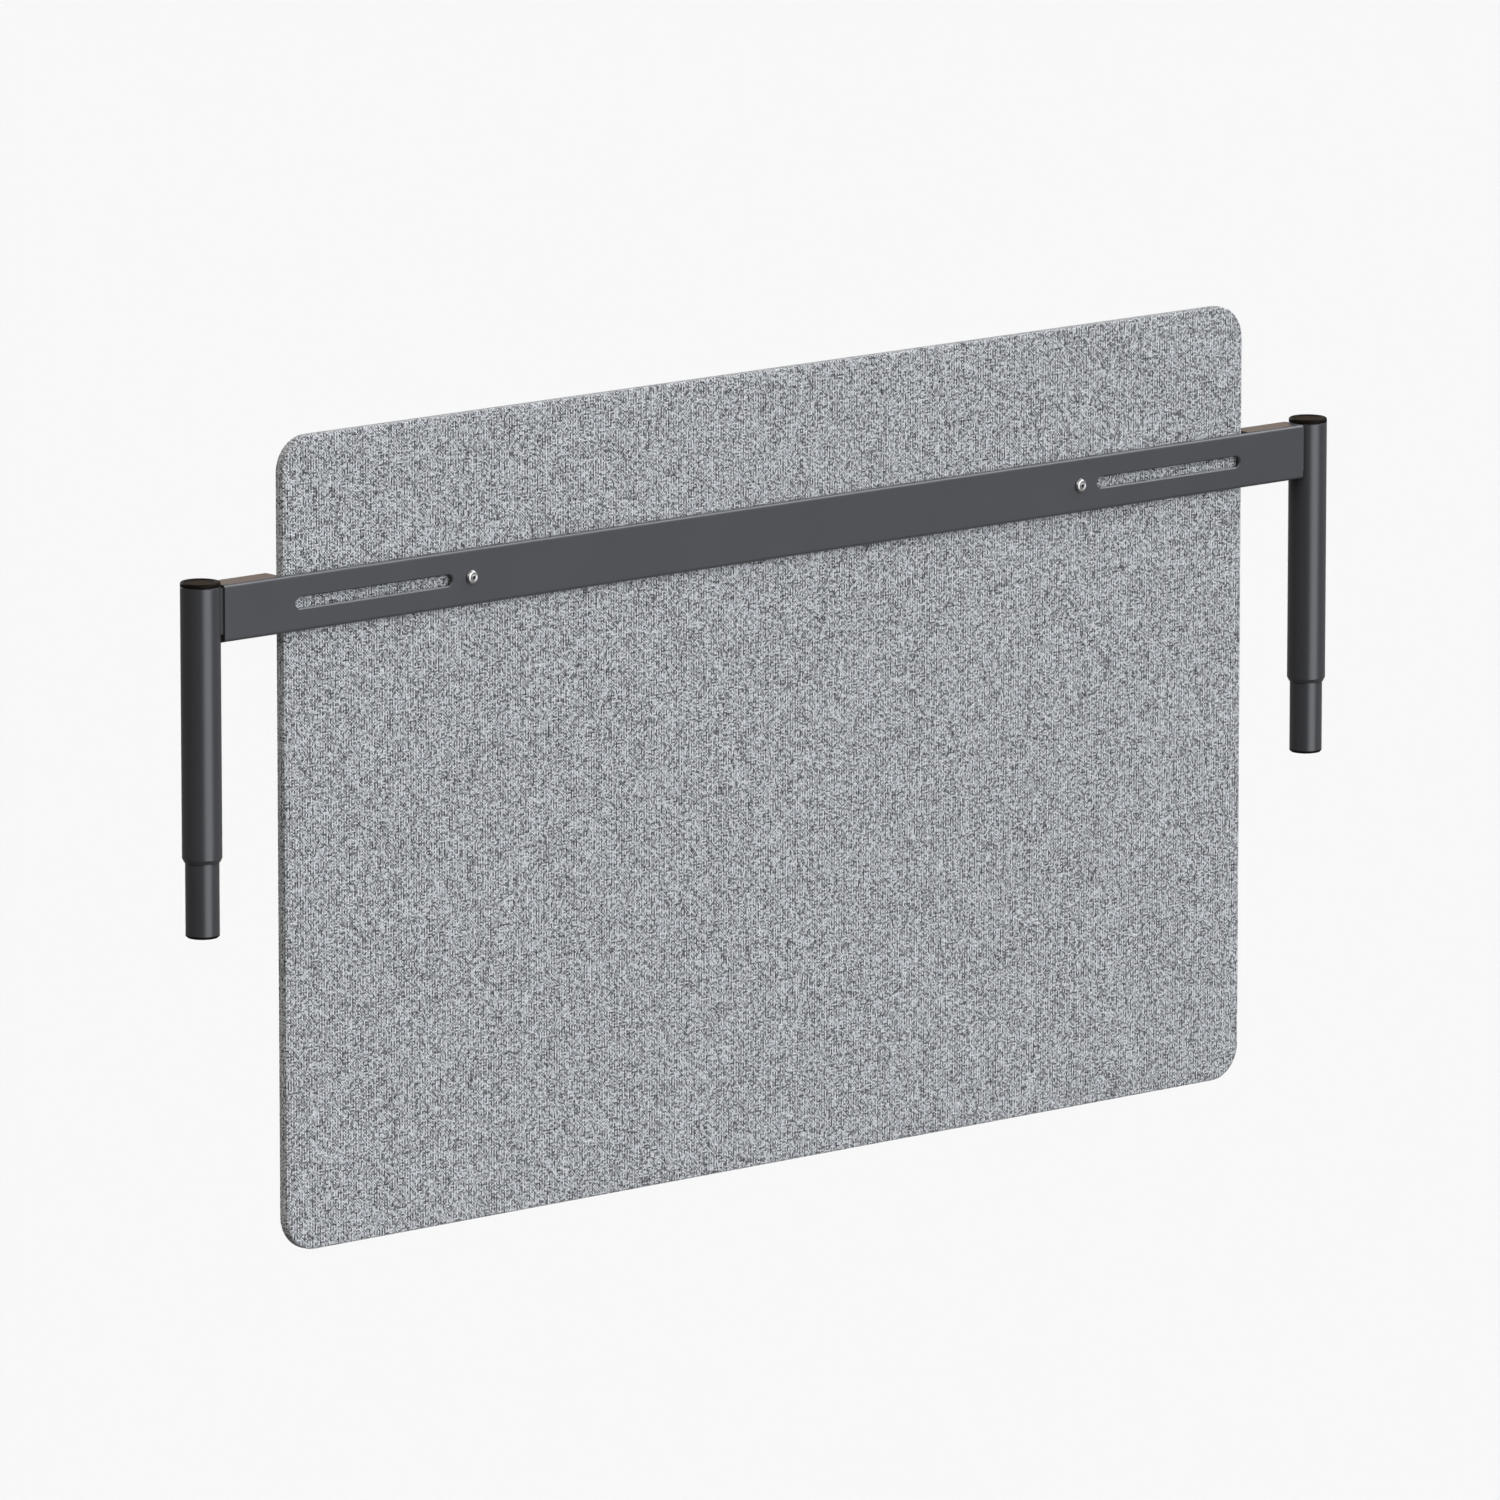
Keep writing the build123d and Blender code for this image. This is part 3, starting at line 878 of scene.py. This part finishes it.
# Boxes of directions in the studio: the middle turn and the half width in degrees,
# turned from the front towards +X, then the middle height and the half height as
# sines of the elevation.
SIDE_BOX = (72, 26, 0.68, 0.14)
REAR_BOX = (180, 25, 0.35, 0.15)
LEFT_BOX = (-90, 50, 0.6, 0.2)
FLAG_BOX = (122, 32, 0.28, 0.26)
GLOW_BOX = (142, 14, 0.16, 0.12)
# The box in front, whose half width is a setting
FRONT_TURN, FRONT_HEIGHT, FRONT_HALF_HEIGHT = 2, 0.2, 0.6
# Half the width of every box's soft edge, in degrees and as a sine
SOFT_TURN, SOFT_HEIGHT = 7, 0.08
# The share of light left inside the flag, and how much the studio brightens towards +X
FLAG_SHARE = 0.15
RIGHTWARD_GAIN = 0.7


def box_mask(tree, azimuth, height, box):
    """1 inside a soft-edged box of directions and 0 outside it."""
    turn, half_turn, middle, half_height = box
    mask = 1.0
    for value, centre, half, feather in (
        (azimuth, math.radians(turn), math.radians(half_turn), math.radians(SOFT_TURN)),
        (height, middle, half_height, SOFT_HEIGHT),
    ):
        off = calc(tree, "ABSOLUTE", calc(tree, "SUBTRACT", value, centre))
        ramp = {0: off, 1: half - feather, 2: half + feather, 3: 1.0, 4: 0.0}
        ramp = node(tree, "ShaderNodeMapRange", ramp, interpolation_type="SMOOTHSTEP")
        mask = calc(tree, "MULTIPLY", ramp.outputs[0], mask)
    return mask


def studio_world(settings):
    """Dim studio surroundings with softboxes in front, behind and high on both sides."""
    world = bpy.data.worlds.new("studio")
    world.use_nodes = True
    tree = world.node_tree
    toward = node(tree, "ShaderNodeTexCoord").outputs["Generated"]
    x, y, z = node(tree, "ShaderNodeSeparateXYZ", {0: toward}).outputs
    azimuth = calc(tree, "ARCTAN2", x, calc(tree, "MULTIPLY", y, -1.0))
    rightward = calc(tree, "MULTIPLY", x, RIGHTWARD_GAIN * settings.ambient)
    upward = calc(tree, "MULTIPLY", calc(tree, "MAXIMUM", z, 0.0), settings.overhead)
    level = calc(tree, "ADD", calc(tree, "ADD", settings.ambient, rightward), upward)
    flag = box_mask(tree, azimuth, z, FLAG_BOX)
    level = calc(tree, "MULTIPLY", level, blended(tree, flag, 1.0, FLAG_SHARE))
    half_turn = math.degrees(settings.softbox_width) / 2
    front_box = (FRONT_TURN, half_turn, FRONT_HEIGHT, FRONT_HALF_HEIGHT)
    either_way = calc(tree, "ABSOLUTE", azimuth)
    total = (0.0, 0.0, 0.0)
    for strength, mask, tint in (
        (1.0, level, settings.warm_tint),
        (settings.softbox, box_mask(tree, azimuth, z, front_box), settings.cool_tint),
        (settings.side_light, box_mask(tree, azimuth, z, SIDE_BOX), settings.cool_tint),
        (settings.rear_light, box_mask(tree, either_way, z, REAR_BOX), settings.cool_tint),
        (settings.back_glow, box_mask(tree, azimuth, z, GLOW_BOX), settings.glow_tint),
        (settings.left_fill, box_mask(tree, azimuth, z, LEFT_BOX), settings.fill_tint),
    ):
        scaled = {0: tuple(tint), "Scale": calc(tree, "MULTIPLY", mask, strength)}
        light = node(tree, "ShaderNodeVectorMath", scaled, operation="SCALE").outputs[0]
        total = node(tree, "ShaderNodeVectorMath", {0: total, 1: light}, operation="ADD").outputs[0]
    tree.links.new(total, tree.nodes["Background"].inputs[0])
    return world


class PANEL_OT_stage(bpy.types.Operator):
    """Sets out the floor, the lights and the camera"""

    bl_idname = "privacy_panel.stage"
    bl_label = "Stage"

    def execute(self, context):
        settings = context.scene.panel_stage
        half = settings.floor_half
        mesh = bpy.data.meshes.new("floor")
        corners = [(-half, -half), (half, -half), (half, half), (-half, half)]
        mesh.from_pydata([(x, y, -settings.floor_drop) for x, y in corners], [], [(0, 1, 2, 3)])
        floor = add_object("floor", mesh)
        colour = (*settings.floor_colour, 1)
        material, _, _ = new_material(
            "pale_floor", Roughness=1.0, Specular_IOR_Level=0.0, Base_Color=colour
        )
        mesh.materials.append(material)

        floor.visible_diffuse = False
        floor.visible_glossy = False
        context.scene.world = studio_world(settings)

        camera = bpy.data.cameras.new("camera")
        camera.lens = settings.lens
        camera.clip_end = 200
        view = add_object("camera", camera)
        a, e = settings.camera_azimuth, settings.camera_elevation
        back = Vector((-math.sin(a) * math.cos(e), -math.cos(a) * math.cos(e), math.sin(e)))
        view.location = Vector(settings.camera_aim) + back * settings.camera_distance
        view.rotation_euler = back.to_track_quat("Z", "Y").to_euler()
        context.scene.camera = view
        context.scene.view_settings.view_transform = "Standard"
        return {"FINISHED"}


class PANEL_PT_sidebar(bpy.types.Panel):
    """Lists the settings and the steps"""

    bl_label = "Privacy Panel"
    bl_space_type = "VIEW_3D"
    bl_region_type = "UI"
    bl_category = "Privacy Panel"

    def draw(self, context):
        for name, group in SETTINGS.items():
            box = self.layout.box()
            for key in group.__annotations__:
                box.prop(getattr(context.scene, name), key)
        for step in STEPS:
            self.layout.operator(step.bl_idname)


SETTINGS = {
    "panel_cover": CoverSettings,
    "panel_finish": FinishSettings,
    "panel_stage": StageSettings,
}
STEPS = (PANEL_OT_cover, PANEL_OT_seam, PANEL_OT_screws, PANEL_OT_finishes, PANEL_OT_stage)
CLASSES = (*SETTINGS.values(), *STEPS, PANEL_PT_sidebar)


def register():
    for cls in CLASSES:
        bpy.utils.register_class(cls)
    for name, group in SETTINGS.items():
        setattr(bpy.types.Scene, name, PointerProperty(type=group))


def unregister():
    for name in SETTINGS:
        delattr(bpy.types.Scene, name)
    for cls in reversed(CLASSES):
        bpy.utils.unregister_class(cls)


def main():
    register()
    for step in STEPS:
        group, name = step.bl_idname.split(".")
        getattr(getattr(bpy.ops, group), name)()


if __name__ == "__main__":
    main()
